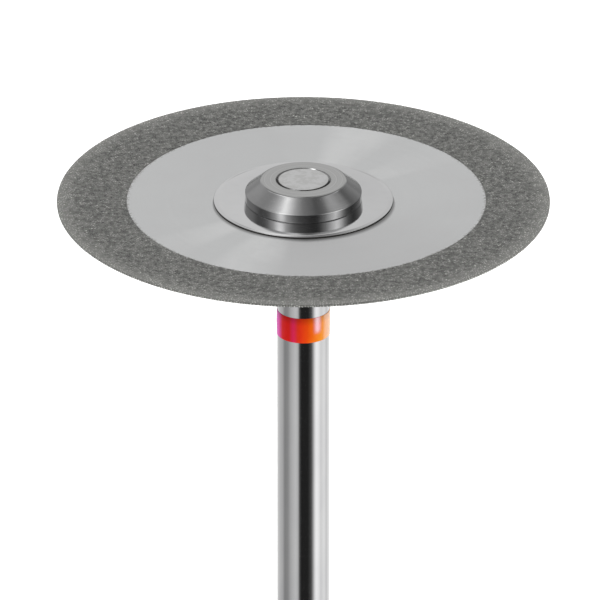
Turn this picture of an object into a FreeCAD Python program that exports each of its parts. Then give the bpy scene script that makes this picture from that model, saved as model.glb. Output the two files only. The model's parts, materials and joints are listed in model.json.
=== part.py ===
"""A thin steel cutting disc, coated with diamond on both faces, fixed on a straight rotary-tool shank."""

import FreeCAD, Part
import math
import os

# The disc, in millimetres like everything here
disc_diameter = 22.0        # over the coated rim
blank_thickness = 0.09      # the bare spring-steel sheet
coat_thickness = 0.03       # nickel and diamond, on each face and round the rim
plain_diameter = 16.0       # bare steel inside the coated ring
plain_shift = 0.13          # how far the bare circle sits off the axis
rim_round = 0.03            # the coat's rounded outer corners

# The shank
shank_diameter = 2.35
shank_length = 44.5         # from the hub's top to the free end, the whole tool
shank_end_round = 0.3       # the corner of the free end
shank_top_chamfer = 0.04    # the corner that shows in the hub's top

# The colour band, a crowned lacquer ring in a groove
band_distance = 5.25        # from the middle of the sheet to the band's near edge
band_width = 1.2
band_groove_depth = 0.16
band_proud = 0.03           # how far the middle of the lacquer stands out of the shank
band_crown = 0.012          # how much lower its edges are than its middle
band_edge_round = 0.012

# The clamp washers, one on each side
washer_diameter = 8.0
washer_thickness = 0.05
washer_edge_round = 0.02

# The turned cap on top
cap_diameter = 5.2
cap_band_height = 0.4       # the straight lower part
cap_height = 0.97
cap_top_diameter = 3.78     # where the cone meets the flat top
cap_top_round = 0.2
cap_shoulder_round = 0.05
cap_countersink = 0.04

# The turned collar below
collar_diameter = 5.2
collar_length = 2.4
collar_cone_length = 0.7
collar_end_diameter = 3.9
collar_edge_round = 0.06

# Fits
loose_fit = 0.01            # radial, where the sheet and the washers slide over the shank
press_fit = 0.0             # radial, where the cap and the collar grip it
same_place = 1e-6           # two measures closer than this are the same

# Levels along the tool's own axis, measured up from the middle of the sheet
disc_radius = disc_diameter / 2
shank_radius = shank_diameter / 2
blank_top = blank_thickness / 2
coat_top = blank_top + coat_thickness
washer_top = blank_top + washer_thickness
cap_top = washer_top + cap_height
collar_end = -washer_top - collar_length
shank_end = cap_top - shank_length
band_near = -band_distance
band_far = band_near - band_width
groove_radius = shank_radius - band_groove_depth
axis = FreeCAD.Vector(0, 0, 1)


def turned(*outline):
    """A solid of revolution from (radius, level) corners."""
    corners = [FreeCAD.Vector(radius, 0, level) for radius, level in outline]
    face = Part.Face(Part.makePolygon(corners + corners[:1]))
    return face.revolve(FreeCAD.Vector(), axis, 360)


def tube(outer, inner, low, high):
    """A plain ring between two radii and two levels."""
    return turned((inner, low), (outer, low), (outer, high), (inner, high))


def crowned_ring(outer, middle, inner, low, high):
    """A ring whose outer wall is an arc, with a larger radius halfway up than at its edges."""
    low_edge = FreeCAD.Vector(outer, 0, low)
    high_edge = FreeCAD.Vector(outer, 0, high)
    crown = Part.Arc(low_edge, FreeCAD.Vector(middle, 0, (low + high) / 2), high_edge).toShape()
    inside = (FreeCAD.Vector(inner, 0, high), FreeCAD.Vector(inner, 0, low))
    straight = Part.makePolygon([high_edge, *inside, low_edge])
    face = Part.Face(Part.Wire([crown, *straight.Edges]))
    return face.revolve(FreeCAD.Vector(), axis, 360)


def is_ring(edge, radius, level):
    """Whether an edge is the circle of this radius at this level."""
    curve = edge.Curve
    if not isinstance(curve, Part.Circle):
        return False
    return abs(curve.Radius - radius) < same_place and abs(curve.Center.z - level) < same_place


def rounded(solid, size, *rings):
    """The solid with its circular corners at these (radius, level) pairs rounded."""
    edges = [edge for edge in solid.Edges if any(is_ring(edge, *ring) for ring in rings)]
    return solid.makeFillet(size, edges)


def chamfered(solid, size, *rings):
    """The solid with its circular corners at these (radius, level) pairs chamfered."""
    edges = [edge for edge in solid.Edges if any(is_ring(edge, *ring) for ring in rings)]
    return solid.makeChamfer(size, edges)


def make_shank():
    """One straight steel rod, flush with the cap's top, with a groove for the colour band."""
    rod = turned((0, shank_end), (shank_radius, shank_end), (shank_radius, cap_top), (0, cap_top))
    rod = rounded(rod, shank_end_round, (shank_radius, shank_end))
    rod = chamfered(rod, shank_top_chamfer, (shank_radius, cap_top))
    return rod.cut(make_colour_band())


def make_colour_band():
    """The lacquer ring, which fills its groove and stands a little proud of the shank."""
    middle = shank_radius + band_proud
    edge = middle - band_crown
    ring = crowned_ring(edge, middle, groove_radius, band_far, band_near)
    return rounded(ring, band_edge_round, (edge, band_far), (edge, band_near))


def make_disc_blank():
    """The thin steel sheet, a flat round with a hole for the shank."""
    return tube(disc_radius - coat_thickness, shank_radius + loose_fit, -blank_top, blank_top)


def make_diamond_rim():
    """The plated diamond layer, a thin channel that wraps the outer part of the sheet."""
    whole = turned((0, -coat_top), (disc_radius, -coat_top), (disc_radius, coat_top), (0, coat_top))
    whole = rounded(whole, rim_round, (disc_radius, -coat_top), (disc_radius, coat_top))
    sheet = Part.makeCylinder(
        disc_radius - coat_thickness, blank_thickness, FreeCAD.Vector(0, 0, -blank_top)
    )
    bare_circle = Part.makeCylinder(
        plain_diameter / 2, 2 * disc_radius, FreeCAD.Vector(-plain_shift, 0, -disc_radius)
    )
    return whole.cut(sheet).cut(bare_circle)


def make_washer(low, high):
    """A thin polished washer that spreads the clamping load over the sheet."""
    outer = washer_diameter / 2
    ring = tube(outer, shank_radius + loose_fit, low, high)
    return rounded(ring, washer_edge_round, (outer, low if low < 0 else high))


def make_hub_cap():
    """The turned cap, a low cylinder under a cone and a flat top, pressed over the shank."""
    outer = cap_diameter / 2
    bore = shank_radius + press_fit
    shoulder = washer_top + cap_band_height
    cap = turned(
        (bore, washer_top),
        (outer, washer_top),
        (outer, shoulder),
        (cap_top_diameter / 2, cap_top),
        (bore, cap_top),
    )
    cap = rounded(cap, cap_shoulder_round, (outer, shoulder))
    cap = rounded(cap, cap_top_round, (cap_top_diameter / 2, cap_top))
    return chamfered(cap, cap_countersink, (bore, cap_top))


def make_hub_collar():
    """The turned collar that carries the disc from below, pressed over the shank."""
    outer = collar_diameter / 2
    bore = shank_radius + press_fit
    cone_start = collar_end + collar_cone_length
    collar = turned(
        (bore, collar_end),
        (collar_end_diameter / 2, collar_end),
        (outer, cone_start),
        (outer, -washer_top),
        (bore, -washer_top),
    )
    return rounded(
        collar, collar_edge_round, (collar_end_diameter / 2, collar_end), (outer, cone_start)
    )


def reach(corner, along, outward):
    """How far a rounded ring corner (level, radius, round) reaches in a direction."""
    level, radius, corner_round = corner
    return level * along + radius * outward + corner_round


def rest_placement():
    """Where the tool comes to rest: on the disc's rim and on the corner of the shank's end.

    The hub's top faces -Y and a little up, and the shank runs back along +Y.
    """
    rim_level = coat_top - rim_round
    rim_radius = disc_radius - rim_round
    low_rim = (-rim_level, rim_radius, rim_round)
    high_rim = (rim_level, rim_radius, rim_round)
    end_corner = (shank_end + shank_end_round, shank_radius - shank_end_round, shank_end_round)

    length = low_rim[0] - end_corner[0]
    drop = low_rim[1] - end_corner[1]
    extra = low_rim[2] - end_corner[2]
    lean = math.atan2(drop, length) + math.asin(extra / math.hypot(length, drop))

    height = reach(low_rim, -math.sin(lean), math.cos(lean))
    front = reach(high_rim, math.cos(lean), math.sin(lean))
    back = reach(end_corner, -math.cos(lean), math.sin(lean))
    turn = FreeCAD.Rotation(FreeCAD.Vector(1, 0, 0), 90 - math.degrees(lean))
    return FreeCAD.Placement(FreeCAD.Vector(0, (front - back) / 2, height), turn)


def main():
    rest = rest_placement()
    pieces = {
        "shank": make_shank(),
        "colour_band": make_colour_band(),
        "disc_blank": make_disc_blank(),
        "diamond_rim": make_diamond_rim(),
        "upper_washer": make_washer(blank_top, washer_top),
        "lower_washer": make_washer(-washer_top, -blank_top),
        "hub_cap": make_hub_cap(),
        "hub_collar": make_hub_collar(),
    }
    os.makedirs("parts", exist_ok=True)
    for name, solid in pieces.items():
        solid.Placement = rest
        solid.exportStep(f"parts/{name}.step")
        print(name, "volume", round(solid.Volume, 4), "valid", solid.isValid())
    print("tool origin", rest.Base, "lean", 90 - math.degrees(rest.Rotation.Angle))


main()
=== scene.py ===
# Double-sided diamond disc on a straight rotary-tool shank, lying on the disc's rim and the shank's end.
# The turned pieces are drawn in the tool's own frame, in millimetres: z runs up the shank to the hub's
# flat top, and 0 is the middle of the steel sheet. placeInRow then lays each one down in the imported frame.
import json
import math

import bpy
from mathutils import Matrix, Vector


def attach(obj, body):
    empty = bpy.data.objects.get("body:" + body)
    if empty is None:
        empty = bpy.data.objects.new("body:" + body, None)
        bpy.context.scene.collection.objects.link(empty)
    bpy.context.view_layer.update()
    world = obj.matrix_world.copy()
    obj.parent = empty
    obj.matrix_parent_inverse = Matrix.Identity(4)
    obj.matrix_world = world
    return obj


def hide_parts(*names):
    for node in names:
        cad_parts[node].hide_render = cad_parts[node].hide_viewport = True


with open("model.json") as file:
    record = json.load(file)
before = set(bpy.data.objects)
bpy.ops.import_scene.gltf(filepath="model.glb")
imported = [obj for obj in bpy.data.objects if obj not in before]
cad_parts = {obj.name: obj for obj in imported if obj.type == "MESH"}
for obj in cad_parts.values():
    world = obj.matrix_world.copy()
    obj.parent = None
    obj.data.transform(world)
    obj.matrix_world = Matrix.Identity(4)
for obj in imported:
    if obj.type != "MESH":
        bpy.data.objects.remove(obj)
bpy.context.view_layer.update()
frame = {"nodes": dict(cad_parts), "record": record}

millimetre = 0.001
body = "root"

# The tool's frame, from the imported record: the shank's mount points away from the disc
shankMount = frame["record"]["mounts"][0]
toolAxis = -Vector(shankMount["axis"]).normalized()
sheetSpots = [vertex.co.dot(toolAxis) for vertex in frame["nodes"]["disc_blank"].data.vertices]
sheetLevel = (min(sheetSpots) + max(sheetSpots)) / 2
mountSpot = Vector(shankMount["pos_m"])
toolOrigin = mountSpot + toolAxis * (sheetLevel - mountSpot.dot(toolAxis))
toolLean = math.atan2(toolAxis.z, -toolAxis.y)              # how far the hub looks up
layDown = Matrix.Rotation(math.pi / 2 - toolLean, 4, "X")
toolToRow = Matrix.Translation(toolOrigin) @ layDown @ Matrix.Scale(millimetre, 4)
toolFront = (layDown @ Vector((0, 1, 0))).normalized()      # out of the shank, on the side that faces up
toolSide = Vector((-1, 0, 0))                               # to the right of the picture
print("tool frame: lean", round(math.degrees(toolLean), 2), "origin", [round(v, 5) for v in toolOrigin])


# Node trees, with their maths written as sums and products

class Value:
    # a socket of a node tree that sums and products can be written with

    def __init__(self, tree, socket):
        self.tree = tree
        self.socket = socket

    def calc(self, operation, *others):
        sockets = dict(enumerate([self, *others]))
        return self.tree.add("ShaderNodeMath", {"operation": operation}, sockets)

    def calcFrom(self, number, operation):
        # the same with a plain number in front, as in 1 - mask
        return self.tree.add("ShaderNodeMath", {"operation": operation}, {0: number, 1: self})

    def __add__(self, other):
        return self.calc("ADD", other)

    def __radd__(self, other):
        return self.calcFrom(other, "ADD")

    def __sub__(self, other):
        return self.calc("SUBTRACT", other)

    def __rsub__(self, other):
        return self.calcFrom(other, "SUBTRACT")

    def __neg__(self):
        return self.calcFrom(0.0, "SUBTRACT")

    def __mul__(self, other):
        return self.calc("MULTIPLY", other)

    def __rmul__(self, other):
        return self.calcFrom(other, "MULTIPLY")

    def __truediv__(self, other):
        return self.calc("DIVIDE", other)

    def __rtruediv__(self, other):
        return self.calcFrom(other, "DIVIDE")

    def __pow__(self, other):
        return self.calc("POWER", other)

    def clamped(self):
        return self.tree.add("ShaderNodeClamp", {}, {"Value": self})

    def step(self, low, high, atLow=0.0, atHigh=1.0):
        # smooth change from one value to the other between two limits
        limits = {"Value": self, "From Min": low, "From Max": high, "To Min": atLow, "To Max": atHigh}
        return self.tree.add("ShaderNodeMapRange", {"interpolation_type": "SMOOTHSTEP"}, limits)


class Nodes:
    # one node tree, with the one method that makes its nodes

    def __init__(self, tree):
        self.tree = tree

    def add(self, kind, settings=None, sockets=None, out=0):
        node = self.tree.nodes.new(kind)
        for name, setting in (settings or {}).items():
            if name == "stops":
                self.setStops(node.color_ramp, setting)
            else:
                setattr(node, name, setting)
        for name, value in (sockets or {}).items():
            if isinstance(value, Value):
                self.tree.links.new(value.socket, node.inputs[name])
            else:
                node.inputs[name].default_value = value
        if out is None:
            return node
        return Value(self, node.outputs[out])

    def setStops(self, ramp, stops):
        while len(ramp.elements) > 1:
            ramp.elements.remove(ramp.elements[-1])
        for index, (place, colour) in enumerate(stops):
            element = ramp.elements[0] if index == 0 else ramp.elements.new(place)
            element.position = place
            element.color = colour

    def mixColours(self, factor, first, second):
        # a Mix node takes its colours at 6 and 7, and gives the mixed one at 2
        sockets = {0: factor, 6: first, 7: second}
        return self.add("ShaderNodeMix", {"data_type": "RGBA", "blend_type": "MIX"}, sockets, out=2)


def grey(level):
    return (level, level, level, 1.0)


# What the finishes share

# near black: grime in the joint round the shank's end, and the painted shadow beside the washer's rim
grimeAndShadow = (0.02, 0.019, 0.018, 1)


def startFinish(name):
    material = bpy.data.materials.new(name)
    material.use_nodes = True
    material.node_tree.nodes.clear()
    return material, Nodes(material.node_tree)


def endFinish(material, nodes, **surface):
    sockets = {name.replace("_", " "): value for name, value in surface.items()}
    shader = nodes.add("ShaderNodeBsdfPrincipled", {}, sockets, out="BSDF")
    nodes.add("ShaderNodeOutputMaterial", {}, {"Surface": shader}, out=None)
    return material


def toolPlace(nodes):
    # the point being shaded, in the tool's frame and in millimetres
    point = nodes.add("ShaderNodeTexCoord", out="Object")
    rotation = (math.pi / 2 - toolLean, 0, 0)
    sockets = {"Vector": point, "Location": toolOrigin, "Rotation": rotation, "Scale": [millimetre] * 3}
    return nodes.add("ShaderNodeMapping", {"vector_type": "TEXTURE"}, sockets)


def roundTheAxis(nodes, place):
    # x, y and z in the tool's frame, with the distance from its axis
    split = nodes.add("ShaderNodeSeparateXYZ", {}, {"Vector": place}, out=None)
    x, y, z = (Value(nodes, socket) for socket in split.outputs)
    return x, y, z, (x * x + y * y) ** 0.5


def azimuthOf(x, y):
    # the angle round the axis, from the side that faces up (0) to the picture's right (90 degrees)
    return (-x).calc("ARCTAN2", y)


def azimuthRamp(nodes, azimuth, levels):
    # a value that changes round the axis, from (degrees, level) pairs
    stops = [(angle / 360 + 0.5, grey(level)) for angle, level in levels]
    return nodes.add("ShaderNodeValToRGB", {"stops": stops}, {"Fac": azimuth / math.tau + 0.5})


def noise(nodes, place, scale, detail=2.0, roughness=0.5):
    sockets = {"Vector": place, "Scale": scale, "Detail": detail, "Roughness": roughness}
    return nodes.add("ShaderNodeTexNoise", {}, sockets)


def bump(nodes, height, distance):
    return nodes.add("ShaderNodeBump", {}, {"Height": height, "Distance": distance * millimetre})


def joinXYZ(nodes, x, y, z):
    return nodes.add("ShaderNodeCombineXYZ", {}, {"X": x, "Y": y, "Z": z})


# Geometry Nodes trees

def openTree(name, **inputs):
    # a Geometry Nodes group with one geometry in, one geometry out and named inputs
    group = bpy.data.node_groups.new(name, "GeometryNodeTree")
    group.interface.new_socket("Geometry", in_out="OUTPUT", socket_type="NodeSocketGeometry")
    group.interface.new_socket("Geometry", in_out="INPUT", socket_type="NodeSocketGeometry")
    for label, kind in inputs.items():
        group.interface.new_socket(label, in_out="INPUT", socket_type=kind)
    nodes = Nodes(group)
    entry = nodes.add("NodeGroupInput", out=None)
    given = {socket.name: Value(nodes, socket) for socket in entry.outputs if socket.name}
    return group, nodes, given


def turnedTree():
    # turns the profile that it is given about the z axis: a grid whose rows are the profile's points
    group, nodes, given = openTree(
        "turned piece", Steps="NodeSocketInt", Offset="NodeSocketVector", Finish="NodeSocketMaterial"
    )
    profile = given["Geometry"]
    steps = given["Steps"]
    count = nodes.add("GeometryNodeAttributeDomainSize", {"component": "MESH"}, {"Geometry": profile})
    grid = nodes.add("GeometryNodeMeshGrid", {}, {"Vertices X": count, "Vertices Y": steps + 1}, out=None)
    mesh, unwrapped = (Value(nodes, socket) for socket in grid.outputs)
    spread = nodes.add(
        "GeometryNodeStoreNamedAttribute", {"data_type": "FLOAT2", "domain": "CORNER"},
        {"Geometry": mesh, "Name": "UVMap", "Value": unwrapped},
    )
    index = nodes.add("GeometryNodeInputIndex")
    row = (index / (steps + 1) + 0.0001).calc("FLOOR")
    angle = (index - row * (steps + 1)) / steps * math.tau
    sample = {"data_type": "FLOAT_VECTOR", "domain": "POINT"}
    here = nodes.add("GeometryNodeInputPosition")
    point = nodes.add("GeometryNodeSampleIndex", sample, {"Geometry": profile, "Value": here, "Index": row})
    split = nodes.add("ShaderNodeSeparateXYZ", {}, {"Vector": point}, out=None)
    radius, drift, level = (Value(nodes, socket) for socket in split.outputs)
    around = joinXYZ(nodes, angle.calc("COSINE") * radius, angle.calc("SINE") * radius, level)
    offset = nodes.add("ShaderNodeVectorMath", {"operation": "SCALE"}, {0: given["Offset"], "Scale": drift})
    moved = nodes.add("ShaderNodeVectorMath", {"operation": "ADD"}, {0: around, 1: offset})
    shaped = nodes.add("GeometryNodeSetPosition", {}, {"Geometry": spread, "Position": moved})
    closed = nodes.add("GeometryNodeMergeByDistance", {}, {"Geometry": shaped, "Distance": 0.0001})
    smooth = nodes.add("GeometryNodeSetShadeSmooth", {"domain": "FACE"}, {"Geometry": closed})
    # corners of more than 32 degrees stay sharp
    corner = nodes.add("GeometryNodeInputMeshEdgeAngle")
    sharp = nodes.add(
        "FunctionNodeCompare", {"operation": "GREATER_THAN"}, {0: corner, 1: math.radians(32)}
    )
    creased = nodes.add(
        "GeometryNodeSetShadeSmooth", {"domain": "EDGE"},
        {"Geometry": smooth, "Selection": sharp, "Shade Smooth": False},
    )
    whole = nodes.add("GeometryNodeRealizeInstances", {}, {"Geometry": creased})
    done = nodes.add("GeometryNodeSetMaterial", {}, {"Geometry": whole, "Material": given["Finish"]})
    nodes.add("NodeGroupOutput", {}, {"Geometry": done}, out=None)
    return group


def gritTree():
    # scatters flattened crystals over the faces that it is given, each sunk part of its depth into the bond
    group, nodes, given = openTree(
        "diamond grit", Spacing="NodeSocketFloat", Size="NodeSocketFloat", Narrowest="NodeSocketFloat",
        Widest="NodeSocketFloat", Flattest="NodeSocketFloat", Tallest="NodeSocketFloat",
        Tilt="NodeSocketFloat", Sink="NodeSocketFloat", Seed="NodeSocketInt", Finish="NodeSocketMaterial",
    )
    # more points than can fit, so that the spacing alone says how many there are
    scatter = nodes.add(
        "GeometryNodeDistributePointsOnFaces", {"distribute_method": "POISSON"},
        {"Mesh": given["Geometry"], "Distance Min": given["Spacing"], "Density Max": 5000.0,
         "Seed": given["Seed"]}, out=None,
    )
    names = ("Points", "Normal", "Rotation")
    points, normal, upright = (Value(nodes, scatter.outputs[name]) for name in names)
    down = nodes.add("ShaderNodeVectorMath", {"operation": "SCALE"}, {0: normal, "Scale": -given["Sink"]})
    sunk = nodes.add("GeometryNodeSetPosition", {}, {"Geometry": points, "Offset": down})
    # a ball of so few faces is an eight-sided crystal
    crystal = nodes.add(
        "GeometryNodeMeshUVSphere", {}, {"Segments": 4, "Rings": 2, "Radius": given["Size"]}
    )

    def chance(least, most, seed):
        # a number of its own for each grain
        sockets = {2: least, 3: most, "Seed": seed}
        return nodes.add("FunctionNodeRandomValue", {"data_type": "FLOAT"}, sockets, out=1)

    tilt = given["Tilt"]
    spin = joinXYZ(nodes, chance(-tilt, tilt, 1), chance(-tilt, tilt, 2), chance(0.0, math.tau, 3))
    tipped = nodes.add(
        "FunctionNodeRotateRotation", {"rotation_space": "LOCAL"}, {"Rotation": upright, "Rotate By": spin}
    )
    across = (given["Narrowest"], given["Widest"])
    high = (given["Flattest"], given["Tallest"])
    stretch = joinXYZ(nodes, chance(*across, 4), chance(*across, 5), chance(*high, 6))
    grains = nodes.add(
        "GeometryNodeInstanceOnPoints", {},
        {"Points": sunk, "Instance": crystal, "Rotation": tipped, "Scale": stretch},
    )
    toned = nodes.add(
        "GeometryNodeStoreNamedAttribute", {"data_type": "FLOAT", "domain": "INSTANCE"},
        {"Geometry": grains, "Name": "grainTone", "Value": chance(0.0, 1.0, 7)},
    )
    whole = nodes.add("GeometryNodeRealizeInstances", {}, {"Geometry": toned})
    faceted = nodes.add(
        "GeometryNodeSetShadeSmooth", {"domain": "FACE"}, {"Geometry": whole, "Shade Smooth": False}
    )
    done = nodes.add("GeometryNodeSetMaterial", {}, {"Geometry": faceted, "Material": given["Finish"]})
    nodes.add("NodeGroupOutput", {}, {"Geometry": done}, out=None)
    return group


turnedGroup = turnedTree()
gritGroup = gritTree()
print("trees: turned piece and diamond grit")


def runTree(name, mesh, group, **values):
    # runs a tree once on a mesh and keeps the result as a plain mesh
    piece = bpy.data.objects.new(name, mesh)
    bpy.context.scene.collection.objects.link(piece)
    modifier = piece.modifiers.new("make", "NODES")
    modifier.node_group = group
    for item in group.interface.items_tree:
        if item.in_out == "INPUT" and item.name in values:
            modifier[item.identifier] = values[item.name]
    depsgraph = bpy.context.evaluated_depsgraph_get()
    made = bpy.data.meshes.new_from_object(
        piece.evaluated_get(depsgraph), preserve_all_data_layers=True, depsgraph=depsgraph
    )
    piece.modifiers.clear()
    made.materials.clear()
    made.materials.append(values["Finish"])
    made.polygons.foreach_set("material_index", [0] * len(made.polygons))
    piece.data = made
    made.name = name
    return piece


def placeInRow(piece, slotName, *nodes):
    piece.data.transform(toolToRow)
    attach(piece, body)
    if nodes:
        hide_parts(*nodes)


def roundedOutline(corners, arcSteps=6, guard=0.012):
    # (radius, level, rounding) corners into points, with arcs at the rounded ones. A guard point beside
    # each arc keeps the flats beside it shading flat
    points = []
    count = len(corners)
    for index, (radius, level, rounding) in enumerate(corners):
        corner = Vector((radius, level))
        if rounding == 0:
            points.append(corner)
            continue
        before = (Vector(corners[index - 1][:2]) - corner).normalized()
        after = (Vector(corners[(index + 1) % count][:2]) - corner).normalized()
        half = before.angle(after) / 2
        reach = rounding / math.tan(half)
        centre = corner + (before + after).normalized() * rounding / math.sin(half)
        start = corner + before * reach - centre
        end = corner + after * reach - centre
        swing = start.angle_signed(end)
        points.append(centre + start + before * guard)
        for step in range(arcSteps + 1):
            angle = -swing * step / arcSteps
            cosine, sine = math.cos(angle), math.sin(angle)
            spoke = Vector((start.x * cosine - start.y * sine, start.x * sine + start.y * cosine))
            points.append(centre + spoke)
        points.append(centre + end + after * guard)
    return points


def turnPiece(name, corners, finish, closed=True, steps=192, drifts=None, offset=(0, 0, 0)):
    # one turned piece from the corners of its section, listed so that its faces look outward. The points
    # that drifts names move by the offset, off the axis
    outline = roundedOutline(corners)
    spots = [(point.x, (drifts or {}).get(index, 0.0), point.y) for index, point in enumerate(outline)]
    if closed:
        spots.append(spots[0])
    mesh = bpy.data.meshes.new(name)
    mesh.from_pydata(spots, [(at, at + 1) for at in range(len(spots) - 1)], [])
    return runTree(name, mesh, turnedGroup, Steps=steps, Offset=offset, Finish=finish)


# The steel sheet, in millimetres like every piece

disc = {
    "diameter": 22.0,                   # over the coated rim
    "sheet": 0.09,                      # thickness of the bare steel
    "bore": 2.37,
    "plain": 16.0,                      # bare circle
    "plainOffset": -0.13,               # its centre, off the axis
    "steps": 256,                       # flats round the rim
    "steel": (0.446, 0.451, 0.451, 1),
    "clouded": (0.42, 0.42, 0.42, 1),
    # the colour of the painted shade round the axis
    "paintedShade": (0.36, 0.36, 0.36, 1),
    "sheen": (0.60, 0.60, 0.60, 1),     # painted sheen along the rays
    "roughness": 0.18,
}
bareCircle = (disc["plainOffset"], 0, 0)
# how much painted shade the sheet has round the axis, in (degrees, level) pairs from the side that faces up
sheetPaintedShade = [
    (-180, 0.0), (-172, 0.0), (-168, 0.12), (-135, 0.08), (-110, 0.0), (-20, 0.0), (-5, 0.50), (20, 0.50),
    (50, 0.32), (72, 0.08), (95, 0.0), (180, 0.0),
]
# and how dark the painted shadow of the gap under the washer's rim is, which shows on the side that the
# camera is on
washerGapShadow = [
    (-180, 0.0), (-95, 0.0), (-75, 0.33), (-50, 0.62), (-30, 0.72), (-15, 0.66), (0, 1.0), (15, 0.95),
    (40, 0.85), (60, 0.68), (80, 0.35), (98, 0.0), (180, 0.0),
]


def brushedSheet():
    # spring steel, faintly brushed in circles, with two pairs of painted highlight rays where the sheen
    # turns over, painted shade round the axis and a painted shadow beside the washer's rim
    material, nodes = startFinish("circular-brushed sheet steel")
    place = toolPlace(nodes)
    x, y, z, radius = roundTheAxis(nodes, place)
    azimuth = azimuthOf(x, y)
    right = -x / radius
    back = -y / radius
    washerRim = washer["diameter"] / 2
    plainRim = disc["plain"] / 2

    # one painted highlight ray, on both sides of the axis
    def paintedRay(degrees, halfWidth, strength):
        angle = math.radians(degrees)
        aim = (right * math.cos(angle) + back * math.sin(angle)).calc("ABSOLUTE")
        return aim.step(math.cos(math.radians(halfWidth)), 1.0, 0.0, strength)

    cloud = noise(nodes, joinXYZ(nodes, right * 2.2, back * 2.2, radius * 0.3), 1.0, 3.0, 0.6)
    broad = noise(nodes, place, 0.32)
    grooves = noise(nodes, joinXYZ(nodes, radius * 30, right * 0.8, back * 0.8), 1.0)
    clouded = (broad * 0.6 + cloud * 0.4).step(0.42, 0.62, 0.0, 0.3)
    near = radius.step(washerRim + 0.6, plainRim - 0.6, 1.0, 0.35)
    paintedRays = (paintedRay(70, 14, 1.0) + paintedRay(39, 10, 0.9) * near) * cloud.step(0.3, 0.65, 0.35, 1.0)
    # the gap's painted shadow is up to half a millimetre wide
    depth = azimuthRamp(nodes, azimuth, washerGapShadow)
    shadow = (radius - washerRim).step(depth * 0.1, depth * 0.5 + 0.005, 1.0, 0.0) * (depth * 0.32 + 0.55)
    # the plating creeps in over the edge of the bare circle by up to this much
    creep = noise(nodes, place, 9.0).step(0.38, 0.64, 0.0, 0.19)
    off = x - disc["plainOffset"]
    plated = (plainRim - (off * off + y * y) ** 0.5).step(0.0, creep, 0.75, 0.0)
    shade = nodes.mixColours(clouded, disc["steel"], disc["clouded"])
    # painted shade round the axis
    shade = nodes.mixColours(azimuthRamp(nodes, azimuth, sheetPaintedShade), shade, disc["paintedShade"])
    # painted sheen along the rays
    shade = nodes.mixColours(paintedRays * 0.45, shade, disc["sheen"])
    # painted shadow beside the washer's rim
    shade = nodes.mixColours(shadow, shade, grimeAndShadow)
    shade = nodes.mixColours(plated, shade, coat["bondLight"])
    return endFinish(
        material, nodes, Base_Color=shade, Metallic=1.0,
        Roughness=grooves.step(0.3, 0.7, disc["roughness"] - 0.03, disc["roughness"] + 0.03),
        Normal=bump(nodes, grooves, 0.0002),
    )


def makeSheet():
    rim = disc["diameter"] / 2 - coat["thickness"]
    bore = disc["bore"] / 2
    top = disc["sheet"] / 2
    corners = [(bore, -top, 0), (rim, -top, 0), (rim, top, 0), (bore, top, 0)]
    return turnPiece("steelSheet", corners, finishes["sheet"], steps=disc["steps"])


# The coating, with its grains

coat = {
    "thickness": 0.03,          # to the tips of the grit
    "bond": 0.010,              # to the surface of the nickel
    "edgeRound": 0.012,
    "paleWidth": 1.3,           # how far in from the rim it gets lighter
    "edgeHighlight": (0.12, 0.03),   # how far in from the rim the edge's painted highlight starts, and is whole
    "bondDark": (0.07, 0.071, 0.067, 1),
    "bondLight": (0.22, 0.22, 0.208, 1),
}
grain = {
    "spacing": 0.104,
    "radius": 0.057,            # before it is stretched by these
    "narrowest": 0.7,
    "widest": 1.2,
    "flattest": 0.32,
    "tallest": 0.49,
    "tilt": 0.3,                # radians
    "sink": 0.009,              # centre below the nickel's surface
    "innerMargin": 0.05,        # bare nickel along the bare circle
    "outerMargin": 0.07,        # and along the rim
    "rimBand": 0.05,            # width of the band of grains round the edge
    "dark": (0.045, 0.046, 0.043, 1),
    "light": (0.68, 0.685, 0.642, 1),
}
bondLevel = disc["sheet"] / 2 + coat["bond"]
bondRim = disc["diameter"] / 2 - coat["thickness"] + coat["bond"]


def paleRimAndEdgeHighlight(radius):
    # the coating gets lighter towards the rim, and most of all on the edge itself, as a painted highlight
    rim = disc["diameter"] / 2
    width = coat["paleWidth"]
    start, whole = coat["edgeHighlight"]
    # painted highlight on the edge itself
    edge = radius.step(rim - start, rim - whole, 0.0, 0.8)
    return ((radius - rim + width) / width).clamped() ** 2.5 + edge


def gritPatches(nodes, place):
    # the grains gather in lighter and darker patches of a few grains
    return noise(nodes, place, 4.6, 3.0, 0.6).step(0.39, 0.62)


def nickelBond():
    # the dull plated nickel between the grains
    material, nodes = startFinish("nickel bond")
    place = toolPlace(nodes)
    radius = roundTheAxis(nodes, place)[3]
    fine = noise(nodes, place, 11.0, 3.0, 0.65)
    # lighter towards the rim, with the painted edge highlight
    light = fine.step(0.35, 0.65) * 0.55 + gritPatches(nodes, place) * 0.45 + paleRimAndEdgeHighlight(radius)
    shade = nodes.mixColours(light.clamped(), coat["bondDark"], coat["bondLight"])
    return endFinish(
        material, nodes, Base_Color=shade, Metallic=0.6,
        Roughness=fine.step(0.3, 0.7, 0.38, 0.6), Normal=bump(nodes, fine, 0.012),
    )


def diamondGrain():
    # each crystal has its own tone, from the attribute that the grit tree stores
    material, nodes = startFinish("nickel-held diamond grit")
    place = toolPlace(nodes)
    radius = roundTheAxis(nodes, place)[3]
    tone = nodes.add("ShaderNodeAttribute", {"attribute_name": "grainTone"}, out="Fac")
    # lighter towards the rim, with the painted edge highlight
    bright = (tone ** 8) * 0.54 + tone * 0.05 + gritPatches(nodes, place) * 0.53 + paleRimAndEdgeHighlight(radius) * 0.42
    shade = nodes.mixColours(bright.clamped(), grain["dark"], grain["light"])
    return endFinish(
        material, nodes, Base_Color=shade, Metallic=0.8, Roughness=tone.step(0.0, 1.0, 0.5, 0.32),
    )


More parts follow.
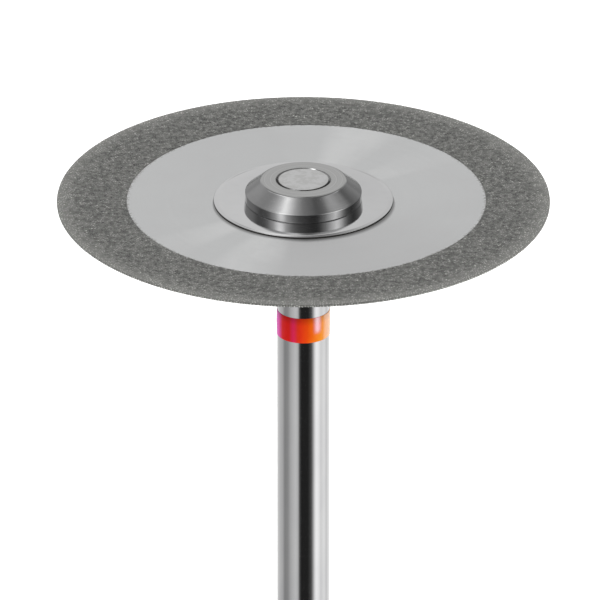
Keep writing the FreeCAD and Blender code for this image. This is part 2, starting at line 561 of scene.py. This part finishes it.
def makeCoat():
    # a channel round the sheet's edge: its inner ends follow the bare circle, which is off centre
    inner = disc["plain"] / 2
    sheetRim = disc["diameter"] / 2 - coat["thickness"]
    low = disc["sheet"] / 2
    soft = coat["edgeRound"]
    corners = [
        (inner, -bondLevel, 0), (bondRim, -bondLevel, soft),
        (bondRim, bondLevel, soft), (inner, bondLevel, 0),
        (inner, low, 0), (sheetRim, low, 0), (sheetRim, -low, 0), (inner, -low, 0),
    ]
    outline = roundedOutline(corners)
    drifts = {at: 1.0 for at, point in enumerate(outline) if abs(point.x - inner) < 1e-6}
    return turnPiece(
        "diamondCoat", corners, finishes["bond"], steps=disc["steps"], drifts=drifts, offset=bareCircle
    )


def makeGrit(name, profile, seed):
    # turns a line of two (radius, drift, level) points into a strip of bond and scatters grains on it
    mesh = bpy.data.meshes.new(name)
    mesh.from_pydata(profile, [(0, 1)], [])
    strip = runTree(
        name + "Strip", mesh, turnedGroup, Steps=disc["steps"], Offset=bareCircle, Finish=finishes["bond"]
    )
    ring = strip.data
    bpy.data.objects.remove(strip)
    return runTree(
        name, ring, gritGroup, Spacing=grain["spacing"], Size=grain["radius"],
        Narrowest=grain["narrowest"], Widest=grain["widest"], Flattest=grain["flattest"],
        Tallest=grain["tallest"], Tilt=grain["tilt"], Sink=grain["sink"], Seed=seed,
        Finish=finishes["grain"],
    )


def gritLines():
    # the lines to turn for the upper face, the lower face and the edge. The faces' inner ends follow the
    # bare circle
    inside = (disc["plain"] / 2 + grain["innerMargin"], 1.0)
    outside = (disc["diameter"] / 2 - grain["outerMargin"], 0.0)
    half = grain["rimBand"] / 2
    return {
        "gritAbove": [(*inside, bondLevel), (*outside, bondLevel)],
        "gritBelow": [(*outside, -bondLevel), (*inside, -bondLevel)],
        "gritRound": [(bondRim, 0.0, half), (bondRim, 0.0, -half)],
    }


# The washers

washer = {
    "diameter": 8.0,
    "thickness": 0.05,
    "edgeRound": 0.02,
    "bore": 2.37,
    "steel": (0.47, 0.47, 0.473, 1),
    # the colour of the painted shade towards the picture's right, and of the faint clouds
    "clouded": (0.38, 0.38, 0.38, 1),
    "shadedPunchedEdge": (0.05, 0.048, 0.045, 1),     # the cut edge, its near-black colour painted shade
    "roughness": 0.075,
    "punchedRoughness": 0.5,
    "rimDrop": 0.025,                       # how far the rim is turned down
    "rimWidth": 0.22,                       # over this width
    "dishRise": 0.0825,                     # how far the face would climb from the hub
    "dishWidth": 1.18,                      # over this width, if it didn't level off
}
hubFoot = disc["sheet"] / 2 + washer["thickness"]


def polishedWasher():
    # mirror-polished face, dished a little round the hub and turned down at the rim, with painted shade
    # towards the picture's right, and a dull punched edge below it whose near-black colour is painted shade
    material, nodes = startFinish("polished washer steel")
    place = toolPlace(nodes)
    x, y, z, radius = roundTheAxis(nodes, place)
    rim = washer["diameter"] / 2
    cloud = noise(nodes, place, 1.6, 3.0)
    face = z.calc("ABSOLUTE").step(hubFoot - 0.02, hubFoot - 0.008)
    shadedPunchedEdge = radius.step(rim - 0.03, rim - 0.01) * (1.0 - face)
    # both in units of the rim's drop
    turnedDown = radius.step(rim - washer["rimWidth"], rim, 1.0, 0.0)
    share = ((radius - hub["diameter"] / 2) / washer["dishWidth"]).clamped()
    dished = (share - share ** 4 * 0.25) * (washer["dishRise"] / washer["rimDrop"])
    # painted shade, darker towards the picture's right, with faint clouds over it
    clouded = (-x / radius).step(-0.2, 0.9, 0.0, 0.35) + cloud.step(0.35, 0.7, 0.0, 0.1)
    shade = nodes.mixColours(clouded, washer["steel"], washer["clouded"])
    return endFinish(
        # the punched edge, rough and dull, painted near black as shade
        material, nodes, Base_Color=nodes.mixColours(shadedPunchedEdge, shade, washer["shadedPunchedEdge"]),
        Metallic=1.0 - shadedPunchedEdge * 0.7,
        Roughness=shadedPunchedEdge.step(0.0, 1.0, washer["roughness"], washer["punchedRoughness"]),
        Normal=bump(nodes, turnedDown + dished + cloud * 0.06, washer["rimDrop"]),
    )


def makeWasher(name, above):
    outer = washer["diameter"] / 2
    bore = washer["bore"] / 2
    near = disc["sheet"] / 2
    far = near + washer["thickness"]
    edge = washer["edgeRound"]
    if above:
        corners = [(bore, near, 0), (outer, near, 0), (outer, far, edge), (bore, far, 0)]
    else:
        corners = [(bore, -far, 0), (outer, -far, edge), (outer, -near, 0), (bore, -near, 0)]
    return turnPiece(name, corners, finishes["washer"])


# The hub: the cap above and the collar below

hub = {
    "diameter": 5.2,
    "straight": 0.4,                    # height of the straight lower part
    "height": 0.97,
    "topDiameter": 3.78,                # where the cone would meet the flat top
    "topRound": 0.2,
    "shoulderRound": 0.05,
    "footRound": 0.03,
    "countersink": 0.04,
    "grimeWidth": (0.045, 0.09),        # either side of the joint, to where it ends
    "grimeDepth": (0.15, 0.25),         # below the flat top
    "steel": (0.50, 0.50, 0.502, 1),
    # the flat top's colour, darker as painted shade
    "face": (0.295, 0.295, 0.291, 1),
    "clouded": (0.3, 0.3, 0.3, 1),
    "roughness": 0.10,
}
collar = {"diameter": 5.2, "length": 2.4, "cone": 0.7, "endDiameter": 3.9, "edgeRound": 0.06}
hubTop = hubFoot + hub["height"]
# how dark the joint round the shank's end is, in (degrees, level) pairs
jointGrime = [
    (-180, 0.55), (-150, 0.7), (-105, 0.75), (-85, 1.0), (-50, 1.0), (-34, 0.85), (-27, 0.5), (-12, 0.5),
    (-5, 0.95), (35, 1.0), (80, 1.0), (95, 0.4), (132, 0.3), (140, 0.0), (164, 0.0), (172, 0.55),
    (180, 0.55),
]


def jointMask(nodes, x, y, z, radius):
    # the joint between the shank's end and the cap holds grime, apart from a few bright nicks
    gap = (radius - shankRadius).calc("ABSOLUTE").step(*hub["grimeWidth"], 1.0, 0.0)
    shallow, deep = hub["grimeDepth"]
    level = azimuthRamp(nodes, azimuthOf(x, y), jointGrime)
    return gap * z.step(hubTop - deep, hubTop - shallow) * level


def turnedSteel():
    # turned on a lathe and polished: tool rings on the flat top, which is painted darker as shade
    material, nodes = startFinish("turned hub steel")
    place = toolPlace(nodes)
    x, y, z, radius = roundTheAxis(nodes, place)
    rings = noise(nodes, joinXYZ(nodes, radius * 16, z * 16, 0.0), 1.0)
    cloud = noise(nodes, place, 2.2, 3.0)
    # the flat top, painted darker as shade, with the tool rings in it
    top = z.step(hubTop - 0.03, hubTop - 0.005)
    shade = nodes.mixColours(top * rings.step(0.3, 0.55, 0.6, 1.0), hub["steel"], hub["face"])
    shade = nodes.mixColours(cloud.step(0.35, 0.7, 0.0, 0.12), shade, hub["clouded"])
    joint = jointMask(nodes, x, y, z, radius)
    rough = (rings + cloud).step(0.7, 1.4, hub["roughness"], hub["roughness"] + 0.06)
    return endFinish(
        material, nodes, Base_Color=nodes.mixColours(joint, shade, grimeAndShadow), Metallic=1.0 - joint * 0.8,
        Roughness=rough + joint * 0.4, Normal=bump(nodes, rings + cloud * 0.6, 0.0010),
    )


def makeCap():
    outer = hub["diameter"] / 2
    shoulder = hubFoot + hub["straight"]
    sink = hub["countersink"]
    corners = [
        (shankRadius, hubFoot, 0), (outer, hubFoot, hub["footRound"]),
        (outer, shoulder, hub["shoulderRound"]), (hub["topDiameter"] / 2, hubTop, hub["topRound"]),
        (shankRadius + sink, hubTop, 0), (shankRadius, hubTop - sink, 0),
    ]
    return turnPiece("hubCap", corners, finishes["hub"])


def makeCollar():
    outer = collar["diameter"] / 2
    end = -hubFoot - collar["length"]
    soft = collar["edgeRound"]
    corners = [
        (shankRadius, end, 0), (collar["endDiameter"] / 2, end, soft), (outer, end + collar["cone"], soft),
        (outer, -hubFoot, 0), (shankRadius, -hubFoot, 0),
    ]
    return turnPiece("hubCollar", corners, finishes["hub"])


# The shank and its colour band

shank = {
    "diameter": 2.35,
    "length": 44.5,                     # from the hub's flat top
    "endRound": 0.3,
    "topChamfer": 0.04,
    "steel": (0.55, 0.55, 0.552, 1),
    "smeared": (0.52, 0.52, 0.525, 1),
    "end": (0.432, 0.432, 0.432, 1),    # the end that shows in the hub's top, darker as painted shade
    "endMottle": (0.38, 0.38, 0.375, 1),
    "roughness": 0.08,
}
band = {
    "start": 5.25,                      # below the middle of the sheet
    "width": 1.2,
    "groove": 0.16,                     # depth of the groove that it fills
    "proud": 0.03,
    "crown": 0.012,                     # how much lower its edges are than its middle
    "crownRound": 1.5,
    "edgeRound": 0.012,
    "red": (0.72, 0.020, 0.008, 1),
    "roseHighlight": (0.80, 0.020, 0.20, 1),
    "magentaReflection": (0.70, 0.030, 0.40, 1),
    "roughness": 0.2,
    "gloss": 4.0,                       # refractive index of the glassy top
    "glossRoughness": 0.04,
}
# the lacquer's colour across the band, from the picture's left (-1) to its right (1): red pigment, with
# painted light that turns it amber towards the right
pigmentAndPaintedLight = [
    (-1.0, (0.66, 0.012, 0.020, 1)), (-0.6, (0.62, 0.010, 0.006, 1)), (-0.4, (0.60, 0.010, 0.006, 1)),
    (-0.1, (0.82, 0.042, 0.010, 1)), (0.15, (0.90, 0.080, 0.006, 1)), (0.4, (0.98, 0.19, 0.006, 1)),
    (0.65, (1.0, 0.30, 0.010, 1)), (1.0, (1.0, 0.38, 0.05, 1)),
]
shankRadius = shank["diameter"] / 2
shankEnd = hubTop - shank["length"]
grooveRadius = shankRadius - band["groove"]
bandNear = -band["start"]
bandFar = bandNear - band["width"]


def groundSteel():
    # centreless-ground rod: fine rings round it, broken up along its length, with a mottled end in painted
    # shade
    material, nodes = startFinish("ground shank steel")
    place = toolPlace(nodes)
    x, y, z, radius = roundTheAxis(nodes, place)
    rings = noise(nodes, joinXYZ(nodes, x * 0.6, y * 0.6, z * 26), 1.0, 3.0)
    smear = noise(nodes, joinXYZ(nodes, x * 0.9, y * 0.9, z * 0.35), 1.0)
    mottle = noise(nodes, place, 3.2).step(0.42, 0.62)
    # the end face, painted darker as shade, with a random mottle
    end = nodes.mixColours(mottle, shank["end"], shank["endMottle"])
    shade = nodes.mixColours(smear.step(0.3, 0.7), shank["steel"], shank["smeared"])
    shade = nodes.mixColours(z.step(hubTop - 0.02, hubTop - 0.005), shade, end)
    joint = jointMask(nodes, x, y, z, radius)
    rough = rings.step(0.3, 0.75, shank["roughness"], shank["roughness"] + 0.06)
    return endFinish(
        material, nodes, Base_Color=nodes.mixColours(joint, shade, grimeAndShadow), Metallic=1.0 - joint * 0.8,
        Roughness=rough + joint * 0.4, Normal=bump(nodes, rings, 0.0006),
    )


def bandLacquer():
    # translucent lacquer: red pigment, with painted light that turns it amber on one side of the shank,
    # under a glassy top that is thickest in a streak on the right and down both sides. Painted rose
    # highlights and a painted magenta reflection lie on it. The back is plain red, and all of it has painted
    # shade towards the disc
    material, nodes = startFinish("red band lacquer")
    place = toolPlace(nodes)
    x, y, z, radius = roundTheAxis(nodes, place)
    across = -x / radius
    azimuth = azimuthOf(x, y)
    drift = noise(nodes, place, 1.6) * 0.16 - 0.08

    def streak(degrees, halfWidth):
        away = (azimuth - math.radians(degrees)).calc("ABSOLUTE")
        return away.step(0.0, math.radians(halfWidth), 1.0, 0.0)

    ahead = (y / radius).step(-0.35, 0.0)
    # where a rose glint is painted and the glassy top is thickest
    glint = streak(32, 14) * z.step(bandFar + 0.32, bandFar + 0.65)
    # the left edge, where a magenta reflection is painted
    leftEdge = across.step(-0.95, -0.77, 1.0, 0.0) * ahead
    rightEdge = across.step(0.68, 0.9, 0.0, 0.8) * ahead
    # painted shade towards the disc
    shaded = z.step(bandNear - 0.4, bandNear, 0.0, 0.32)
    # painted rose highlights: a glint on the right and a streak on the left
    roseHighlight = glint * 0.8 + streak(-22, 11) * 0.38
    # red pigment with painted light, amber towards the right
    stops = [(spot / 2 + 0.5, colour) for spot, colour in pigmentAndPaintedLight]
    shade = nodes.add("ShaderNodeValToRGB", {"stops": stops}, {"Fac": (across + drift) / 2 + 0.5})
    shade = nodes.mixColours(ahead, band["red"], shade)
    shade = nodes.mixColours(roseHighlight.clamped(), shade, band["roseHighlight"])
    # painted magenta reflection down the left edge
    shade = nodes.mixColours(leftEdge, shade, band["magentaReflection"])
    shade = nodes.mixColours(shaded, shade, grey(0.0))
    gloss = glint + leftEdge * 0.15 + rightEdge + 0.01
    return endFinish(
        material, nodes, Base_Color=shade, Roughness=band["roughness"], Specular_IOR_Level=0.1,
        Coat_Weight=gloss.clamped(), Coat_Roughness=band["glossRoughness"], Coat_IOR=band["gloss"],
        Normal=bump(nodes, noise(nodes, place, 5.0), 0.003),
    )


def makeShank():
    chamfer = shank["topChamfer"]
    corners = [
        (0, shankEnd, 0), (shankRadius, shankEnd, shank["endRound"]), (shankRadius, bandFar, 0),
        (grooveRadius, bandFar, 0), (grooveRadius, bandNear, 0), (shankRadius, bandNear, 0),
        (shankRadius, hubTop - chamfer, 0), (shankRadius - chamfer, hubTop, 0), (0, hubTop, 0),
    ]
    return turnPiece("turnedShank", corners, finishes["shank"], closed=False)


def makeBand():
    middle = shankRadius + band["proud"]
    edge = middle - band["crown"]
    halfway = (bandNear + bandFar) / 2
    soft = band["edgeRound"]
    corners = [
        (grooveRadius, bandFar, 0), (edge, bandFar, soft), (middle, halfway, band["crownRound"]),
        (edge, bandNear, soft), (grooveRadius, bandNear, 0),
    ]
    return turnPiece("lacquerBand", corners, finishes["band"])


# Every piece, finished and laid in its place

finishes = {
    "shank": groundSteel(),
    "band": bandLacquer(),
    "sheet": brushedSheet(),
    "washer": polishedWasher(),
    "hub": turnedSteel(),
    "bond": nickelBond(),
    "grain": diamondGrain(),
}
print("finishes:", len(finishes))

placeInRow(makeSheet(), "disc_steel", "disc_blank")
placeInRow(makeCoat(), "diamond_coat", "diamond_rim")
for seed, (gritName, line) in enumerate(gritLines().items(), start=11):
    placeInRow(makeGrit(gritName, line, seed), "diamond_coat")
print("disc: sheet, coat and grit")

placeInRow(makeShank(), "shank_steel", "shank")
placeInRow(makeBand(), "band_lacquer", "colour_band")
placeInRow(makeWasher("washerAbove", True), "washer_steel", "upper_washer")
placeInRow(makeWasher("washerBelow", False), "washer_steel", "lower_washer")
placeInRow(makeCap(), "hub_steel", "hub_cap")
placeInRow(makeCollar(), "hub_steel", "hub_collar")
print("shank, band, washers and hub")


# Floor, light and camera

studio = {
    "floorSize": 2.4,           # metres, as all of the stage
    "floorColour": (0.93, 0.93, 0.93, 1),
    "topLight": 16.0,           # watts
    "topSize": 0.9,
    "topDistance": 1.3,
    "floorLight": 20.0,         # watts, on the floor alone
    "fill": 0.3,
    "backdrop": 1.0,
    "wings": 0.9,               # of the soft boxes behind and beside the tool
}


def keep(thing):
    bpy.context.scene.collection.objects.link(thing)
    return thing


def makeLight(name, towards, target, watts):
    # a broad round light, out of sight of the camera and of reflections
    lamp = bpy.data.lights.new(name, "AREA")
    lamp.shape = "DISK"
    lamp.size = studio["topSize"]
    lamp.energy = watts
    light = keep(bpy.data.objects.new(name, lamp))
    light.location = target + towards * studio["topDistance"]
    light.rotation_mode = "QUATERNION"
    light.rotation_quaternion = towards.to_track_quat("Z", "Y")
    light.visible_glossy = False
    light.visible_camera = False
    return light


def makeFloor():
    # evenly lit by a light of its own, and left out of reflections, where the soft boxes stand for it
    half = studio["floorSize"] / 2
    mesh = bpy.data.meshes.new("floor")
    corners = [(-half, -half, 0), (half, -half, 0), (half, half, 0), (-half, half, 0)]
    mesh.from_pydata(corners, [], [(0, 1, 2, 3)])
    material, nodes = startFinish("pale floor")
    endFinish(material, nodes, Base_Color=studio["floorColour"], Roughness=0.9, Specular_IOR_Level=0.1)
    mesh.materials.append(material)
    floor = keep(bpy.data.objects.new("floor", mesh))
    floor.visible_glossy = False
    lit = bpy.data.collections.new("lit floor")
    lit.objects.link(floor)
    light = makeLight("floor light", Vector((0, 0, 1)), Vector((0, 0, 0)), studio["floorLight"])
    light.data.use_shadow = False
    light.light_linking.receiver_collection = lit


# The soft boxes that the polished steel reflects: their brightness round the tool's axis, from the side
# that faces up (0 degrees) to the picture's right (90). From the camera the shank mirrors the ones under
# the disc, and the flat faces the ones over it, and so do the hub's sides by way of the washer
boxesUnder = [
    (-180, 1.0), (-148, 0.90), (-125, 0.77), (-105, 0.68), (-90, 0.38), (-72, 0.43), (-58, 0.67),
    (-48, 0.78), (-34, 0.90), (-24, 0.76), (-17, 0.13), (-10, 0.025), (21, 0.025), (36, 0.12),
    (44, 0.55), (52, 1.25), (60, 1.55), (72, 1.38), (82, 1.10), (104, 1.28), (121, 0.97), (144, 1.20),
    (180, 1.0),
]
boxesLevel = [
    (-180, 0.95), (-177, 0.90), (-173, 0.40), (-150, 0.38), (-100, 0.30), (-60, 0.90), (-40, 1.30),
    (-15, 0.12), (25, 0.10), (50, 0.90), (72, 1.40), (100, 0.30), (150, 0.28), (173, 0.40), (177, 0.90),
    (180, 0.95),
]
boxesOver = [
    (-180, 1.04), (-163, 1.0), (-152, 0.50), (-130, 0.46), (-116, 0.40), (-98, 0.18), (-82, 0.22),
    (-74, 0.34), (-60, 0.98), (-47, 2.6), (-41, 2.1), (-34, 1.05), (-22, 0.43), (-9, 0.19), (14, 0.08),
    (26, 0.07), (33, 0.15), (45, 0.55), (58, 1.5), (69, 2.2), (78, 1.4), (87, 0.65), (97, 0.22),
    (113, 0.09), (128, 0.18), (142, 0.32), (152, 0.42), (163, 1.0), (180, 1.04),
]
# and straight over the hub, across the picture from left (-1) to right (1): the ones in front light the
# hub's cone, the ones behind it the washer's turned-down edge
boxesAhead = [
    (-1.0, 0.33), (-0.66, 0.36), (-0.60, 0.44), (-0.54, 0.64), (-0.485, 0.86), (-0.43, 1.2), (-0.385, 1.55),
    (-0.34, 1.42), (-0.29, 1.15), (-0.25, 0.95), (-0.167, 0.60), (-0.09, 0.43), (0.0, 0.29), (0.10, 0.235),
    (0.19, 0.19), (0.27, 0.13), (0.36, 0.165), (0.43, 0.235), (0.50, 0.50), (0.57, 0.60), (0.62, 0.55),
    (0.66, 0.36), (0.70, 0.25), (1.0, 0.2),
]
boxesBehind = [
    (-1.0, 0.42), (-0.35, 0.42), (-0.15, 0.42), (-0.11, 0.7), (-0.08, 1.3), (-0.04, 1.5), (-0.01, 0.6),
    (0.02, 0.30), (0.05, 0.30), (0.085, 0.55), (0.12, 0.85), (0.17, 0.85), (0.35, 0.25), (1.0, 0.18),
]
# where one set fades into the next, as the share of a direction that points
boxEdges = {
    "level": (-0.32, -0.22),        # up the tool
    "over": (0.18, 0.28),
    "straight": (0.54, 0.64),
    "wingHeight": (0.645, 0.69),
    "wingSides": (0.42, 0.52),      # to either side
    "behind": (-0.5, -0.3),         # to the front
}
# and a small bright lamp, whose glint shows in the joint round the shank's end
spotLamp = {"side": -0.48, "front": 0.27, "radius": 8.0, "strength": 2.6}


def makeWorld():
    # the soft boxes, seen in reflections alone: the camera sees a plain backdrop, and the rest an even fill
    world = bpy.data.worlds.new("studio")
    world.use_nodes = True
    world.node_tree.nodes.clear()
    nodes = Nodes(world.node_tree)
    look = nodes.add("ShaderNodeTexCoord", out="Generated")

    def share(direction):
        sockets = {0: look, 1: direction}
        return nodes.add("ShaderNodeVectorMath", {"operation": "DOT_PRODUCT"}, sockets, out="Value")

    def blend(first, second, factor):
        return first * (1.0 - factor) + second * factor

    def acrossRamp(levels):
        stops = [(place / 2 + 0.5, grey(level)) for place, level in levels]
        return nodes.add("ShaderNodeValToRGB", {"stops": stops}, {"Fac": side / 2 + 0.5})

    def background(colour):
        return nodes.add("ShaderNodeBackground", {}, {"Color": colour})

    side = share(toolSide)
    front = share(toolFront)
    along = share(toolAxis)
    azimuth = side.calc("ARCTAN2", front)
    boxes = azimuthRamp(nodes, azimuth, boxesUnder)
    boxes = blend(boxes, azimuthRamp(nodes, azimuth, boxesLevel), along.step(*boxEdges["level"]))
    boxes = blend(boxes, azimuthRamp(nodes, azimuth, boxesOver), along.step(*boxEdges["over"]))
    wings = side.calc("ABSOLUTE").step(*boxEdges["wingSides"]) * along.step(*boxEdges["wingHeight"])
    behind = blend(acrossRamp(boxesBehind), studio["wings"], wings)
    straight = blend(acrossRamp(boxesAhead), behind, front.step(*boxEdges["behind"], 1.0, 0.0))
    boxes = blend(boxes, straight, along.step(*boxEdges["straight"]))
    lampRise = math.sqrt(1 - spotLamp["side"] ** 2 - spotLamp["front"] ** 2)
    lampAim = toolSide * spotLamp["side"] + toolFront * spotLamp["front"] + toolAxis * lampRise
    lampEdge = math.radians(spotLamp["radius"])
    spot = share(lampAim).step(math.cos(lampEdge), math.cos(lampEdge / 2))
    boxes = boxes + spot * spotLamp["strength"]
    path = nodes.add("ShaderNodeLightPath", out=None)
    shiny = Value(nodes, path.outputs["Is Glossy Ray"])
    seen = Value(nodes, path.outputs["Is Camera Ray"])
    lit = nodes.add(
        "ShaderNodeMixShader", {}, {0: shiny, 1: background(grey(studio["fill"])), 2: background(boxes)}
    )
    mixed = nodes.add("ShaderNodeMixShader", {}, {0: seen, 1: lit, 2: background(grey(studio["backdrop"]))})
    nodes.add("ShaderNodeOutputWorld", {}, {"Surface": mixed}, out=None)
    world.cycles.sampling_method = "NONE"
    bpy.context.scene.world = world


picture = {
    "size": 600,
    "discPixels": 494.0,        # the disc's width in the picture
    "discAt": (303.4, 201.1),   # its centre
    "aboveDisc": 25.2,          # degrees between the view and the disc's plane
    "lens": 1600.0,
    "sensor": 36.0,
}


def makeCamera():
    # looks at the disc from in front and above, as the photograph does, from far away
    rise = math.radians(picture["aboveDisc"])
    back = toolFront * math.cos(rise) + toolAxis * math.sin(rise)
    up = toolAxis * math.cos(rise) - toolFront * math.sin(rise)
    right = up.cross(back)
    pixel = disc["diameter"] * millimetre / picture["discPixels"]
    distance = picture["size"] * pixel * picture["lens"] / picture["sensor"]
    middle = picture["size"] / 2
    across, down = picture["discAt"]
    target = toolOrigin + right * (middle - across) * pixel + up * (down - middle) * pixel
    lens = bpy.data.cameras.new("camera")
    lens.lens = picture["lens"]
    lens.sensor_width = picture["sensor"]
    lens.clip_end = 10.0
    camera = bpy.data.objects.new("camera", lens)
    facing = Matrix((right, up, back)).transposed().to_4x4()
    camera.matrix_world = Matrix.Translation(target + back * distance) @ facing
    bpy.context.scene.camera = keep(camera)
    return back, target


makeFloor()
makeWorld()
cameraBack, cameraTarget = makeCamera()
makeLight("top light", cameraBack, cameraTarget, studio["topLight"])
bpy.context.scene.view_settings.view_transform = "Standard"
print("floor, light and camera")
